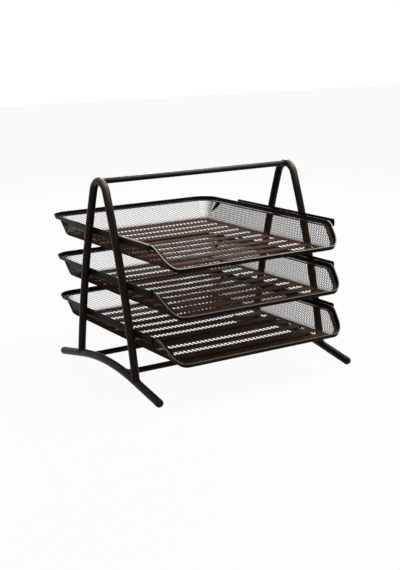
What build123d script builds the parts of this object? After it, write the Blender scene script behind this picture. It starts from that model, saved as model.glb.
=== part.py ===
from build123d import *
import os
from math import cos, radians, sin, sqrt, tan

# Trays: leaning walls, an open front, and a rim of folded strip. Lengths are in mm, angles in degrees.
tray_width = 280.0
tray_depth = 350.0
tray_height = 33.0
wall_lean = 20.0
floor_corner_radius = 10.0
basket_sheet = 0.8
rim_height = 6.4
rim_sheet = 1.2
ledge_width = 4.5

# Dip of the sides from their full height to the low front
dip_angle = 41.0
dip_foot = 6.4
crest_radius = 15.0
dip_radius = 4.0

# Ribs pressed into the tray floors, from left to right
rib_crown = 6.6
rib_rise = 2.8
rib_flank = 45.0
rib_gap = 17.3
rib_margin = 12.0
rib_end_margin = 20.0
floor_sag = 2.0

# Openings that stand for the mesh: rows between the ribs, and one row round the walls
opening_length = 30.0
strand_width = 6.0

# Angle rails fixed to the inner sides of the legs
rail_sheet = 1.2
rail_bend_radius = 0.8
rail_rise = 2.1
rail_corner_radius = 2.5
rail_overhang = 37.25
flange_setback = 11.4

# Room for the trays to move, and for what lies in them
rest_clearance = 0.3
side_clearance = 1.6
rim_clearance = 4.05
home_clearance = 2.0
paper_gap = 26.5
middle_tray_out = 6.0
bottom_tray_out = 9.0

# Frame: two arches of tube on two arched feet, joined by rods
arch_diameter = 10.6
arch_bend_radius = 19.5
arch_lean = 20.4
leg_spread = 161.5
handle_rise = 68.2
foot_diameter = 10.8
foot_span = 278.0
foot_rise = 19.3
foot_slope = 10.8
foot_clearance = 18.75
tube_wall = 1.2
rod_diameter = 7.8
cross_bar_inset = 31.0
cross_bar_drop = 0.8

# Domed plugs in the ends of the feet, each with a small flat to stand on
plug_overlap = 0.35
plug_flat_depth = 0.4
plug_spigot_length = 9.0
plug_clearance = 0.15

# Feet: an arc in the middle, and a straight slope down to the plug at each end
foot_radius = foot_diameter / 2
plug_radius = foot_radius + plug_overlap
foot_end_height = plug_radius - plug_flat_depth
foot_top = foot_end_height + foot_rise
foot_fall = tan(radians(foot_slope))
foot_arc_radius = (foot_span / 2 * foot_fall - foot_rise) / (1 / cos(radians(foot_slope)) - 1)
foot_arc_half = foot_arc_radius * sin(radians(foot_slope))

# Heights of the rims and the handle, from the feet up
tier_spacing = tray_height + paper_gap
bottom_rim_top = foot_top + foot_radius + foot_clearance + tray_height
handle_height = bottom_rim_top + 2 * tier_spacing + handle_rise
arch_spacing = tray_width + 2 * (rim_clearance + rail_sheet) + arch_diameter


def foot_height(y):
    """Height of a foot's centre line at a place along it."""
    if abs(y) > foot_arc_half:
        return foot_end_height + foot_fall * (foot_span / 2 - abs(y))
    return foot_top - foot_arc_radius + sqrt(foot_arc_radius ** 2 - y ** 2)


arc_end = (foot_arc_half, foot_height(foot_arc_half))
arc_start = (-foot_arc_half, foot_height(foot_arc_half))
foot_arc = ThreePointArc(arc_start, (0, foot_top), arc_end)
front_slope = Line((-foot_span / 2, foot_end_height), arc_start)
rear_slope = Line(arc_end, (foot_span / 2, foot_end_height))
foot_line = Plane.YZ * (front_slope + foot_arc + rear_slope)

# Arches: a tight bend at the top, and two bowed legs that run down to the feet
bend_centre = (0, handle_height - arch_bend_radius)
bend = CenterArc(bend_centre, arch_bend_radius, arch_lean, 180 - 2 * arch_lean)
leg_end = (leg_spread / 2, foot_height(leg_spread / 2))
leg_slope = (sin(radians(arch_lean)), -cos(radians(arch_lean)))
rear_leg = TangentArc(bend @ 0, leg_end, tangent=leg_slope)
front_leg = mirror(rear_leg, about=Plane.YZ)
arch_line = Plane.YZ * (rear_leg + bend + front_leg)


def bar_along(line, radius):
    """Solid round bar along a line."""
    return sweep(Plane(line @ 0, z_dir=line % 0) * Circle(radius), line)


foot_bar = bar_along(foot_line, foot_radius)
foot = foot_bar - bar_along(foot_line, foot_radius - tube_wall)
arch_bar = bar_along(arch_line, arch_diameter / 2)
arch = arch_bar - bar_along(arch_line, arch_diameter / 2 - tube_wall) - foot_bar


def both_sides(shape):
    """Copies of a shape in the planes of the left and the right arch."""
    return Pos(-arch_spacing / 2, 0, 0) * shape, Pos(arch_spacing / 2, 0, 0) * shape


def rod_between(bar, y, z):
    """Rod from side to side, its ends shaped to the bars that it is fixed to."""
    rod = Pos(0, y, z) * Rot(0, 90, 0) * Cylinder(rod_diameter / 2, arch_spacing)
    left_bar, right_bar = both_sides(bar)
    return rod - left_bar - right_bar


def foot_plug():
    """Domed plug in the rear end of a foot, cut flat where it stands."""
    dome = split(Sphere(plug_radius), bisect_by=Plane.XY, keep=Keep.TOP)
    spigot_radius = foot_radius - tube_wall - plug_clearance
    spigot = Cylinder(spigot_radius, plug_spigot_length, align=(Align.CENTER, Align.CENTER, Align.MAX))
    plug = Plane(foot_line @ 1, z_dir=foot_line % 1) * (dome + spigot)
    below_ground = Pos(0, foot_span / 2, 0) * Box(
        4 * plug_radius, 4 * plug_radius, plug_radius, align=(Align.CENTER, Align.CENTER, Align.MAX)
    )
    return plug - below_ground


# Tray sizes that follow from the driving ones, with the floor's middle as the tray's own origin
lean = tan(radians(wall_lean))
rim_reach = ledge_width + rim_sheet
side_height = tray_height - rim_height
floor_width = tray_width - 2 * (rim_reach + lean * tray_height)
floor_depth = tray_depth - 2 * rim_reach - lean * (tray_height + rim_height)
tray_front = -(floor_depth / 2 + rim_reach + lean * rim_height)
tray_back = tray_front + tray_depth
dip_end = tray_front + dip_foot
crest = dip_end + side_height / tan(radians(dip_angle))
crest_end = crest + crest_radius * tan(radians(dip_angle / 2))

# The floor hangs down in its middle, from an edge that lies a little outside it
sag_half_width = floor_width / 2 + rim_reach
sag_half_depth = floor_depth / 2 + rim_reach
rib_width = rib_crown + 2 * rib_rise * tan(radians(rib_flank))
rib_pitch = rib_width + rib_gap
rib_count = int((floor_depth - 2 * rib_end_margin + rib_gap) // rib_pitch)
rib_length = floor_width - 2 * rib_margin
opening_pitch = opening_length + strand_width


def spaced(count, pitch):
    """Evenly spaced places on both sides of a middle."""
    return [(i - (count - 1) / 2) * pitch for i in range(count)]


def pan(outside, bottom, top):
    """Solid with the pan's leaning walls, moved outwards, between two heights over its underside."""
    growth = 2 * (outside + lean * top)
    brim = RectangleRounded(floor_width + growth, floor_depth + growth, floor_corner_radius + growth / 2)
    upside_down = extrude(brim, amount=top - bottom, taper=wall_lean)
    return Pos(0, 0, top) * Rot(180, 0, 0) * upside_down


def dip_line(offset):
    """Side view of the rim's underside from back to front, raised square to itself."""
    shift = offset * tan(radians(dip_angle / 2))
    return FilletPolyline(
        (tray_back + rim_reach, side_height + offset),
        (crest - shift, side_height + offset),
        (dip_end - shift, offset),
        (tray_front - rim_reach, offset),
        radius=[crest_radius + offset, dip_radius + rim_height - offset],
    )


def dipping_band(low, high):
    """Band right across the tray that follows the dip, between two offsets from the rim's underside."""
    lower = dip_line(low)
    upper = dip_line(high)
    outline = lower + Line(lower @ 1, upper @ 1) + upper + Line(upper @ 0, lower @ 0)
    return extrude(Plane.YZ * make_face(outline), amount=tray_width, both=True)


def below_dip(offset):
    """Everything under the dipping line, right across the tray."""
    line = dip_line(offset)
    front = line @ 1
    back = line @ 0
    base = Polyline(front, (front.X, -tray_height), (back.X, -tray_height), back)
    return extrude(Plane.YZ * make_face(line + base), amount=tray_width, both=True)


def tray_rim():
    """Ledge that rides on the rails, and the upright lip at its outer edge."""
    reach = (-rim_height, tray_height + rim_height)
    outer = pan(rim_reach, *reach)
    ledge = (outer - pan(0, *reach)) & dipping_band(0, rim_sheet)
    lip = (outer - pan(ledge_width, *reach)) & dipping_band(0, rim_height)
    return ledge + lip


def under_floor(height):
    """Everything under the sagging floor, at a height over the tray's underside."""
    columns = (-sag_half_width, 0, sag_half_width)
    rows = (-sag_half_depth, 0, sag_half_depth)
    net = [[(x, y, height) for y in rows] for x in columns]
    net[1][1] = (0, 0, height - 4 * floor_sag)
    return extrude(Face.make_bezier_surface(net), amount=tray_height, dir=(0, 0, -1))


def rib(y, bottom, top):
    """Bar with a rib's flanks and sloping ends that sags as the floor does, between two heights over it."""
    middle = -floor_sag * (1 - (y / sag_half_depth) ** 2)
    end = middle * (1 - (rib_length / 2 / sag_half_width) ** 2)
    line = Bezier(
        (-rib_length / 2, y, end),
        (0, y, 2 * middle - end),
        (rib_length / 2, y, end),
    )
    slope = tan(radians(rib_flank))
    half_crown = rib_crown / 2
    half_foot = half_crown + (top - bottom) * slope
    section = make_face(
        Polyline(
            (-half_foot, bottom),
            (half_foot, bottom),
            (half_crown, top),
            (-half_crown, top),
            close=True,
        )
    )
    bar = sweep(Plane(line @ 0, x_dir=(0, 1, 0), z_dir=line % 0) * section, line)
    crown_length = rib_length - 2 * rib_rise * slope
    drop = top + 2 * floor_sag
    ends = extrude(Rectangle(crown_length, rib_pitch), amount=-drop, taper=-rib_flank)
    return bar & Pos(0, y, top) * ends


def mesh_openings():
    """Blocks for the openings between the ribs, in the back wall and in both side walls."""
    wall_height = side_height - 2 * strand_width
    across = spaced(int(rib_length // opening_pitch), opening_pitch)
    side_end = floor_depth / 2 - floor_corner_radius
    side_middle = (crest_end + side_end) / 2
    side_count = int((side_end - crest_end) // opening_pitch)
    floor_block = Box(opening_length, rib_gap - strand_width, tray_height)
    back_block = Pos(0, floor_depth / 2, side_height / 2) * Box(opening_length, tray_height, wall_height)
    side_block = Pos(0, side_middle, side_height / 2) * Box(2 * tray_width, opening_length, wall_height)
    in_floor = [Pos(x, y, 0) * floor_block for x in across for y in spaced(rib_count + 1, rib_pitch)]
    in_back = [Pos(x, 0, 0) * back_block for x in across]
    in_sides = [Pos(0, y, 0) * side_block for y in spaced(side_count, opening_pitch)]
    return in_floor + in_back + in_sides


def tray_basket():
    """Open pan of thin sheet, its floor sagging, with hollow ribs pressed up into it."""
    wall = basket_sheet / cos(radians(wall_lean))
    outside = pan(0, -rim_height, tray_height) - under_floor(0)
    inside = pan(-wall, -rim_height, tray_height + basket_sheet) - under_floor(basket_sheet)
    shell = (outside - inside) & below_dip(rim_sheet)
    places = spaced(rib_count, rib_pitch)
    raised = [rib(y, basket_sheet / 2, basket_sheet + rib_rise) for y in places]
    hollows = [rib(y, -basket_sheet, rib_rise) for y in places]
    return (shell + raised) - hollows - mesh_openings()


# Rails: a web against the legs and a flange under the tray's ledge, cut back at its front end
rail_length = leg_spread + 2 * rail_overhang
web_outside = arch_spacing / 2 - arch_diameter / 2
web_inside = web_outside - rail_sheet
flange_inside = floor_width / 2 + lean * side_height + side_clearance


def right_rail(rim_top):
    """Angle rail on the right for a tray whose rim top is at a given height."""
    top = rim_top + rail_rise
    bottom = rim_top - rim_height - rest_clearance - rail_sheet
    section = make_face(
        Polyline(
            (flange_inside, bottom),
            (web_outside, bottom),
            (web_outside, top),
            (web_inside, top),
            (web_inside, bottom + rail_sheet),
            (flange_inside, bottom + rail_sheet),
            close=True,
        )
    )
    outer_corner = section.vertices().sort_by_distance((web_outside, bottom))[0]
    section = fillet(outer_corner, rail_bend_radius + rail_sheet)
    inner_corner = section.vertices().sort_by_distance((web_inside, bottom + rail_sheet))[0]
    section = fillet(inner_corner, rail_bend_radius)
    rail = extrude(Plane.XZ * section, amount=rail_length / 2, both=True)
    setback = Pos(web_inside - rail_bend_radius, -rail_length / 2, bottom + rail_sheet / 2) * Box(
        tray_width, 2 * flange_setback, 3 * rail_sheet, align=(Align.MAX, Align.CENTER, Align.CENTER)
    )
    rail = rail - setback
    return fillet(rail.edges().filter_by(Axis.X).group_by(Axis.Z)[-1], rail_corner_radius)


# Places of the trays along the rails; at home the dipping sides stop just before the flanges
home_tray_place = flange_setback - rail_length / 2 - home_clearance - crest_end
tiers = {
    "top": (bottom_rim_top + 2 * tier_spacing, home_tray_place),
    "middle": (bottom_rim_top + tier_spacing, home_tray_place - middle_tray_out),
    "bottom": (bottom_rim_top, home_tray_place - bottom_tray_out),
}

pieces = {}
pieces["left_foot"], pieces["right_foot"] = both_sides(foot)
pieces["left_arch"], pieces["right_arch"] = both_sides(arch)
pieces["handle_bar"] = rod_between(arch_bar, 0, handle_height)
cross_bar_place = leg_spread / 2 - cross_bar_inset
cross_bar_height = foot_height(cross_bar_place) - cross_bar_drop
pieces["front_cross_bar"] = rod_between(foot_bar, -cross_bar_place, cross_bar_height)
pieces["rear_cross_bar"] = rod_between(foot_bar, cross_bar_place, cross_bar_height)

rear_plug = foot_plug()
front_plug = mirror(rear_plug, about=Plane.XZ)
pieces["rear_left_foot_plug"], pieces["rear_right_foot_plug"] = both_sides(rear_plug)
pieces["front_left_foot_plug"], pieces["front_right_foot_plug"] = both_sides(front_plug)

basket = tray_basket()
rim = tray_rim()
for tier, (rim_top, place) in tiers.items():
    tray_place = Pos(0, place, rim_top - tray_height)
    pieces[tier + "_tray_basket"] = tray_place * basket
    pieces[tier + "_tray_rim"] = tray_place * rim
    rail = right_rail(rim_top)
    pieces["right_" + tier + "_rail"] = rail
    pieces["left_" + tier + "_rail"] = mirror(rail, about=Plane.YZ)

# The origin is under the middle of the whole object, on the surface that it stands on
front_most = home_tray_place - bottom_tray_out + tray_front
rear_most = home_tray_place + tray_back
to_origin = Pos(0, -(front_most + rear_most) / 2, 0)

os.makedirs("parts", exist_ok=True)
for name, piece in pieces.items():
    export_step(to_origin * piece, "parts/" + name + ".step")
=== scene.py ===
import math
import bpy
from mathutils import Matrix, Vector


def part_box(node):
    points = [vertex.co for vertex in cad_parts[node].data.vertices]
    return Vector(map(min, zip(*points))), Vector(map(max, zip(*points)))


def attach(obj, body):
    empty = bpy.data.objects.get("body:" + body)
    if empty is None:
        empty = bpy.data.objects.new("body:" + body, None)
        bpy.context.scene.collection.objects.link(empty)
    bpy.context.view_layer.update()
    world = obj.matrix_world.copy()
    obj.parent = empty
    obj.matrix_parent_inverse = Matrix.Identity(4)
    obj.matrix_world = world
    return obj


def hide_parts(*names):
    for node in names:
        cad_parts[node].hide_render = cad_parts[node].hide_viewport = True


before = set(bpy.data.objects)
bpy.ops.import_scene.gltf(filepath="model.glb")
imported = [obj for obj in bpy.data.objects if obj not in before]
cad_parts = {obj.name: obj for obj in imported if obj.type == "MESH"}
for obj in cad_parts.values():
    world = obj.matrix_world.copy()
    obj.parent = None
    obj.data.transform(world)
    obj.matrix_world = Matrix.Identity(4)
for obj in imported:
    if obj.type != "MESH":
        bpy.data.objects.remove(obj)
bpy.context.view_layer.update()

from types import SimpleNamespace
from typing import NamedTuple

import bmesh
import bpy
from bpy.props import FloatProperty, FloatVectorProperty, IntProperty, PointerProperty
from bpy.types import Operator, Panel, PropertyGroup
from mathutils import Matrix, Vector

bl_info = {
    "name": "Three-Tier Document Tray",
    "version": (1, 0, 0),
    "blender": (4, 5, 0),
    "location": "View3D > Sidebar > Document Tray",
    "description": "Builds a tubular desk stand with three sliding trays of pressed mesh",
    "category": "Object",
}

MM = 0.001
TIERS = ("top", "middle", "bottom")
SIDES = {"left": -1.0, "right": 1.0}
ENDS = {"front": -1.0, "rear": 1.0}
UP = Vector((0.0, 0.0, 1.0))
ACROSS = Vector((1.0, 0.0, 0.0))


# Sizes and colours that a user would change

def length(name, description, millimetres):
    """Property for a length, written in millimetres."""
    return FloatProperty(
        name=name,
        description=description,
        default=millimetres * MM,
        precision=5,
        subtype="DISTANCE",
        unit="LENGTH",
    )


def angle(name, description, degrees):
    """Property for an angle, written in degrees."""
    return FloatProperty(
        name=name,
        description=description,
        default=math.radians(degrees),
        subtype="ANGLE",
        unit="ROTATION",
    )


def share(name, description, value):
    """Property for a share from 0 to 1."""
    return FloatProperty(
        name=name, description=description, default=value, min=0.0, max=1.0, subtype="FACTOR"
    )


def colour(name, description, value):
    """Property for a colour, in linear light."""
    return FloatVectorProperty(
        name=name, description=description, default=value, size=3, min=0.0, max=1.0, subtype="COLOR"
    )


class StandSizes(PropertyGroup):
    """Sizes of the tubes, rods and rails that the solids' boxes don't give."""

    arch_bend: length("Arch bend", "Radius of the bend at the top of an arch, to the tube's axis", 19.5)
    leg_lean: angle("Leg lean", "Lean of a leg from upright where the top bend ends", 20.4)
    leg_spread: length("Leg spread", "Distance between the two legs of an arch on its foot", 161.5)
    foot_slope: angle("Foot slope", "Slope of the straight ends of a foot", 10.8)
    plug_flat: length("Plug flat", "Depth of the flat that each end plug stands on", 0.4)
    plug_collar: length("Plug collar", "Length of the plug's collar over the end of the foot", 1.2)
    plug_step: length("Plug step", "Height by which the collar stands proud of the foot", 0.08)
    bead: length("Weld bead", "Radius of the weld bead round a joint", 0.9)
    rail_bead: length("Rail bead", "Radius of the short weld beads between a leg and a rail", 0.7)
    rail_sheet: length("Rail sheet", "Thickness of the rails' sheet", 1.2)
    rail_fold: length("Rail fold", "Radius of the rails' fold, to the middle of the sheet", 1.4)
    rail_corner: length("Rail corner", "Radius of the upper corners of a rail", 2.5)
    rail_edge: length("Rail edge", "Width of the broken edge along a rail", 0.22)
    # Width of the painted highlight along the lit top edge of one rail
    rail_rub: length("Rail rub", "Width of the rubbed band along the top of a rail", 1.3)
    flange_setback: length("Flange setback", "Length of rail without flange at the front", 11.4)
    tube_sides: IntProperty(name="Tube sides", description="Faces round a tube or rod", default=40, min=8)


class TraySizes(PropertyGroup):
    """Sizes of the trays, whose overall box comes from their solids."""

    wall_lean: angle("Wall lean", "Lean of the walls from upright", 20.0)
    floor_corner: length("Floor corner", "Corner radius of the floor's outline", 10.0)
    floor_bend: length("Floor bend", "Radius of the bend from floor to wall", 8.0)
    floor_sag: length("Floor sag", "Depth by which the middle of the floor hangs down", 2.0)
    rim_height: length("Rim height", "Height of the rim's upright lip", 6.4)
    rim_sheet: length("Rim sheet", "Thickness of the rim's strip", 1.2)
    rim_edge: length("Rim edge", "Radius of the rolled edge along the top of the lip", 0.85)
    rim_fold: length("Rim fold", "Outer radius of the fold between ledge and lip", 1.9)
    ledge_width: length("Ledge width", "Width of the ledge from the pan to the lip", 4.5)
    ledge_cover: length("Ledge cover", "Width by which the ledge covers the edge of the mesh", 1.1)
    dip_angle: angle("Dip angle", "Slope of the sides where they dip to the front", 41.0)
    dip_foot: length("Dip foot", "Distance from the front edge to the foot of the dip", 6.4)
    crest_radius: length("Crest radius", "Radius at the top of the dip", 15.0)
    dip_radius: length("Dip radius", "Radius at the foot of the dip", 4.0)
    rib_crown: length("Rib crown", "Width of the flat top of a floor rib", 6.6)
    rib_rise: length("Rib rise", "Height of a floor rib", 2.8)
    rib_flank: angle("Rib flank", "Lean of a rib's flanks from upright", 45.0)
    rib_gap: length("Rib gap", "Distance between two ribs", 17.3)
    rib_margin: length("Rib margin", "Distance from the end of a rib to the side of the floor", 12.0)
    rib_end_margin: length("Rib end margin", "Least distance from the ribs to the front and back", 20.0)
    mesh_sheet: length("Mesh sheet", "Thickness of the mesh", 0.85)
    diamond_length: length("Diamond length", "Length of a mesh diamond, from side to side", 6.4)
    diamond_width: length("Diamond width", "Width of a mesh diamond, from front to back", 3.7)
    floor_opening: share("Floor opening", "Size of a hole in the floor as a share of its diamond", 0.71)
    flank_opening: share("Flank opening", "Size of a rib flank's hole as a share of its diamond", 0.86)
    wall_opening: share("Wall opening", "Size of a hole in the walls as a share of its diamond", 0.93)
    fold_width: length("Fold width", "Width of a gathered fold of mesh near a rear corner", 2.8)


class Finishes(PropertyGroup):
    """Colour, roughness and glint of the coats and of the end plugs."""

    frame_colour: colour("Frame coat", "Colour of the coat on tubes and rods", (0.0180, 0.0135, 0.0105))
    rim_colour: colour("Rim coat", "Colour of the coat on the rims and rails", (0.0110, 0.0082, 0.0060))
    mesh_colour: colour("Mesh coat", "Colour of the coat on the mesh", (0.0740, 0.0365, 0.0195))
    plug_colour: colour("End plugs", "Colour of the plugs in the feet", (0.0165, 0.0108, 0.0078))
    # Pale colour painted as highlights on the lips, a rail's top edge, the handle and the arches'
    # shoulders
    highlight_colour: colour("Painted highlight", "Colour of the painted highlights on the coat", (0.60, 0.50, 0.44))
    glint_colour: colour("Glint", "Tint of the light that the coats throw back", (0.80, 0.57, 0.47))
    frame_roughness: share("Frame roughness", "Roughness of the coat on tubes and rods", 0.31)
    rim_roughness: share("Rim roughness", "Roughness of the coat on the rims and rails", 0.32)
    mesh_roughness: share("Mesh roughness", "Roughness of the coat on the mesh", 0.50)
    plug_roughness: share("Plug roughness", "Roughness of the end plugs", 0.55)
    frame_gloss: share("Frame gloss", "Strength of the glint on tubes and rods", 0.08)
    rim_gloss: share("Rim gloss", "Strength of the glint on the rims and rails", 0.02)
    mesh_gloss: share("Mesh gloss", "Strength of the glint on the mesh", 0.02)


class StageSizes(PropertyGroup):
    """Place of the camera, as it stood for the photograph, and the floor's colour."""

    azimuth: angle("Azimuth", "Turn of the camera round the object, to the left of its front", 31.509)
    elevation: angle("Elevation", "Height of the camera, as an angle over the object", 13.284)
    roll: angle("Roll", "Turn of the camera about its line of sight", -1.339)
    distance: length("Distance", "Distance from the camera to the point that it looks at", 1474.63)
    target_side: length("Target side", "Sideways place of the point that the camera looks at", -0.60)
    target_height: length("Target height", "Height of the point that the camera looks at", 108.75)
    lens: FloatProperty(name="Lens", description="Focal length in mm", default=66.05, min=1.0)
    floor_colour: colour("Floor", "Colour of the floor", (0.62, 0.61, 0.60))


# Places and sizes that come from the solids

def size_of(node):
    """Length, width and height of a node's box."""
    low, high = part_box(node)
    return high - low


def middle_of(node):
    """Middle of a node's box."""
    low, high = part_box(node)
    return (low + high) / 2


def stand_shape(sizes):
    """Places and radii of the stand's tubes and rods, from their solids."""
    arch_low, arch_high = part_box("right_arch")
    foot_low, foot_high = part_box("right_foot")
    plug_low, plug_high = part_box("rear_right_foot_plug")
    shape = SimpleNamespace(
        arch_radius=(arch_high.x - arch_low.x) / 2,
        foot_radius=(foot_high.x - foot_low.x) / 2,
        plug_radius=(plug_high.x - plug_low.x) / 2,
        rod_radius=size_of("handle_bar").z / 2,
        side=(arch_low.x + arch_high.x) / 2,
        middle=(arch_low.y + arch_high.y) / 2,
        handle=middle_of("handle_bar"),
    )
    shape.foot_half = plug_high.y - shape.plug_radius - shape.middle
    shape.foot_end = shape.plug_radius - sizes.plug_flat
    shape.foot_top = foot_high.z - shape.foot_radius
    rise = shape.foot_top - shape.foot_end
    shape.foot_slope = sizes.foot_slope
    fall = shape.foot_half * math.tan(sizes.foot_slope)
    shape.foot_arc = (fall - rise) / (1 / math.cos(sizes.foot_slope) - 1)
    return shape


def foot_turn(shape, along):
    """Slope of a foot's centre line as an angle: level in the middle, steady along the straight ends."""
    most = math.sin(shape.foot_slope)
    return math.asin(max(-most, min(most, along / shape.foot_arc)))


def foot_point(shape, along):
    """Point of a foot's centre line, by its distance in front of or behind the middle."""
    turn = abs(foot_turn(shape, along))
    straight = abs(along) - shape.foot_arc * math.sin(turn)
    drop = shape.foot_arc * (1 - math.cos(turn)) + straight * math.tan(turn)
    return Vector((0.0, shape.middle + along, shape.foot_top - drop))


def foot_direction(shape, along):
    """Direction of a foot's centre line towards the rear."""
    turn = foot_turn(shape, along)
    return Vector((0.0, math.cos(turn), -math.sin(turn)))


def leg_arc(shape, sizes):
    """Bowed rear leg from the top bend down to the foot: its arc's centre, radius and two angles."""
    lean = sizes.leg_lean
    bend_middle = shape.handle.z - sizes.arch_bend
    start = Vector((sizes.arch_bend * math.cos(lean), bend_middle + sizes.arch_bend * math.sin(lean)))
    end = Vector((sizes.leg_spread / 2, foot_point(shape, sizes.leg_spread / 2).z))
    inward = Vector((-math.cos(lean), -math.sin(lean)))
    chord = end - start
    radius = chord.length_squared / (2 * chord.dot(inward))
    centre = start + radius * inward
    last = end - centre
    return SimpleNamespace(
        centre=centre, radius=radius, first=lean, last=math.atan2(last.y, last.x)
    )


def leg_point(shape, arc, turn):
    """Point of the rear leg's centre line at an angle of its arc, seen from its centre."""
    return Vector((
        0.0,
        shape.middle + arc.centre.x + arc.radius * math.cos(turn),
        arc.centre.y + arc.radius * math.sin(turn),
    ))


def tray_shape(sizes):
    """Sizes of a tray from its rim's solid, with the middle of the floor as the tray's own origin."""
    width, depth, height = size_of("top_tray_rim")
    lean = math.tan(sizes.wall_lean)
    reach = sizes.ledge_width + sizes.rim_sheet
    half_depth = (depth - 2 * reach - lean * (height + sizes.rim_height)) / 2
    front = -(half_depth + reach + lean * sizes.rim_height)
    return SimpleNamespace(
        lean=lean,
        reach=reach,
        half_width=width / 2 - reach - lean * height,
        half_depth=half_depth,
        front=front,
        side_height=height - sizes.rim_height,
        rim_height=sizes.rim_height,
        dip_angle=sizes.dip_angle,
        dip_end=front + sizes.dip_foot,
        crest_radius=sizes.crest_radius,
        dip_radius=sizes.dip_radius,
    )


def tray_place(tier, shape):
    """Place of a tray's own origin."""
    low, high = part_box(tier + "_tray_rim")
    return Vector(((low.x + high.x) / 2, low.y - shape.front, low.z))


# Sums that work on plain numbers and on the sockets of a node tree

PLAIN_MATHS = {
    "SQRT": math.sqrt,
    "SINE": math.sin,
    "COSINE": math.cos,
    "TANGENT": math.tan,
    "MINIMUM": min,
    "MAXIMUM": max,
    "GREATER_THAN": lambda first, second: float(first > second),
}


def calc(operation, *values):
    """One step of a sum, by a Math node if a value is a socket."""
    for value in values:
        if isinstance(value, Term):
            return value.nodes.add("ShaderNodeMath", {"operation": operation}, dict(enumerate(values)))
    return PLAIN_MATHS[operation](*values)


def clamp(value, low, high):
    """Value kept between two limits."""
    return calc("MINIMUM", calc("MAXIMUM", value, low), high)


class Term:
    """A socket that takes part in sums as a number does."""

    def __init__(self, nodes, socket):
        self.nodes = nodes
        self.socket = socket

    def output(self, name):
        """Another output of the same node."""
        return Term(self.nodes, self.socket.node.outputs[name])

    def __add__(self, other):
        return calc("ADD", self, other)

    def __radd__(self, other):
        return calc("ADD", other, self)

    def __sub__(self, other):
        return calc("SUBTRACT", self, other)

    def __rsub__(self, other):
        return calc("SUBTRACT", other, self)

    def __mul__(self, other):
        return calc("MULTIPLY", self, other)

    def __rmul__(self, other):
        return calc("MULTIPLY", other, self)

    def __truediv__(self, other):
        return calc("DIVIDE", self, other)

    def __rtruediv__(self, other):
        return calc("DIVIDE", other, self)


class Nodes:
    """A node tree, and the one way to add a node to it."""

    def __init__(self, tree):
        self.tree = tree
        tree.nodes.clear()

    def add(self, kind, settings=None, inputs=None, output=0):
        """New node with its settings and socket values; a list holds several links to one socket."""
        node = self.tree.nodes.new(kind)
        for name, value in (settings or {}).items():
            setattr(node, name, value)
        for key, value in (inputs or {}).items():
            for term in value if isinstance(value, list) else [value]:
                if isinstance(term, Term):
                    self.tree.links.new(term.socket, node.inputs[key])
                else:
                    node.inputs[key].default_value = term
        return Term(self, node.outputs[output]) if node.outputs else None


# Materials

# Scale and detail of the noise in the coats and in the plugs' plastic
DRIFT = (28.0, 3.0)
GRAIN = (2600.0, 2.0)
PEEL = (900.0, 2.0)
PLUG_DRIFT = (28.0, 2.0)
PLUG_GRAIN = (1800.0, 3.0)
# Coats: tones between which the colour drifts, paler grains, roughness, peel and painted highlights
COAT_TONES = (0.80, 1.25)
GRAIN_TONE = 1.9
GRAIN_START = 0.62
GRAIN_STEEPNESS = 5.0
GRAIN_COVER = 0.6
DRIFT_ROUGHNESS = 0.08
GRAIN_ROUGHNESS = 0.05
PEEL_DEPTH = 0.12 * MM
PEEL_STRENGTH = 0.3
# Glossy coat laid over the painted highlights: its weight and roughness
HIGHLIGHT_COAT = 0.5
HIGHLIGHT_COAT_ROUGHNESS = 0.40
# Plastic of the end plugs
PLUG_TONES = (0.85, 1.3)
PLUG_GRAIN_ROUGHNESS = 0.1
PLUG_GRAIN_STRENGTH = 0.25
PLUG_SPECULAR = 0.10


def blank_material(name):
    """New material and its empty node tree."""
    material = bpy.data.materials.new(name)
    material.use_nodes = True
    return material, Nodes(material.node_tree)


def shade(tone, factor=1.0):
    """Colour for a colour socket, made darker or paler by a factor."""
    return tuple(factor * part for part in tone) + (1.0,)


def mixed(nodes, factor, first, second):
    """Colour between two colours, which are inputs 6 and 7 of a Mix node, with output 2 as the result."""
    return nodes.add(
        "ShaderNodeMix", {"data_type": "RGBA"}, {0: factor, 6: first, 7: second}, output=2
    )


def noise(nodes, place, scale, detail):
    """Noise over a surface, from 0 to 1."""
    return nodes.add("ShaderNodeTexNoise", {}, {"Vector": place, "Scale": scale, "Detail": detail})


def satin_coat(name, tone, roughness, gloss, glint, highlight_tone):
    """Satin powder coat with a fine peel, a drift of tone, tiny paler grains and pale, glossy painted
    highlights.
    """
    material, nodes = blank_material(name)
    place = nodes.add("ShaderNodeTexCoord", output="Object")
    drift = noise(nodes, place, *DRIFT)
    grain = noise(nodes, place, *GRAIN)
    peel = noise(nodes, place, *PEEL)
    # Mask of the painted highlights, carried by the meshes. There the coat is made pale and glossy to
    # stand in for light
    wear = nodes.add("ShaderNodeAttribute", {"attribute_name": "wear"}, output="Fac")
    dark, pale = COAT_TONES
    base = mixed(nodes, drift, shade(tone, dark), shade(tone, pale))
    grains = clamp((grain - GRAIN_START) * GRAIN_STEEPNESS, 0.0, GRAIN_COVER)
    base = mixed(nodes, grains, base, shade(tone, GRAIN_TONE))
    base = mixed(nodes, wear, base, shade(highlight_tone))
    bump = nodes.add(
        "ShaderNodeBump", {}, {"Strength": PEEL_STRENGTH, "Distance": PEEL_DEPTH, "Height": peel}
    )
    shader = nodes.add(
        "ShaderNodeBsdfPrincipled",
        {},
        {
            "Base Color": base,
            "Roughness": roughness + DRIFT_ROUGHNESS * (drift - 0.5) + GRAIN_ROUGHNESS * grain,
            "Specular IOR Level": gloss,
            "Specular Tint": shade(glint),
            "Coat Weight": HIGHLIGHT_COAT * wear,
            "Coat Roughness": HIGHLIGHT_COAT_ROUGHNESS,
            "Normal": bump,
        },
    )
    nodes.add("ShaderNodeOutputMaterial", {}, {"Surface": shader})
    return material


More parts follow.
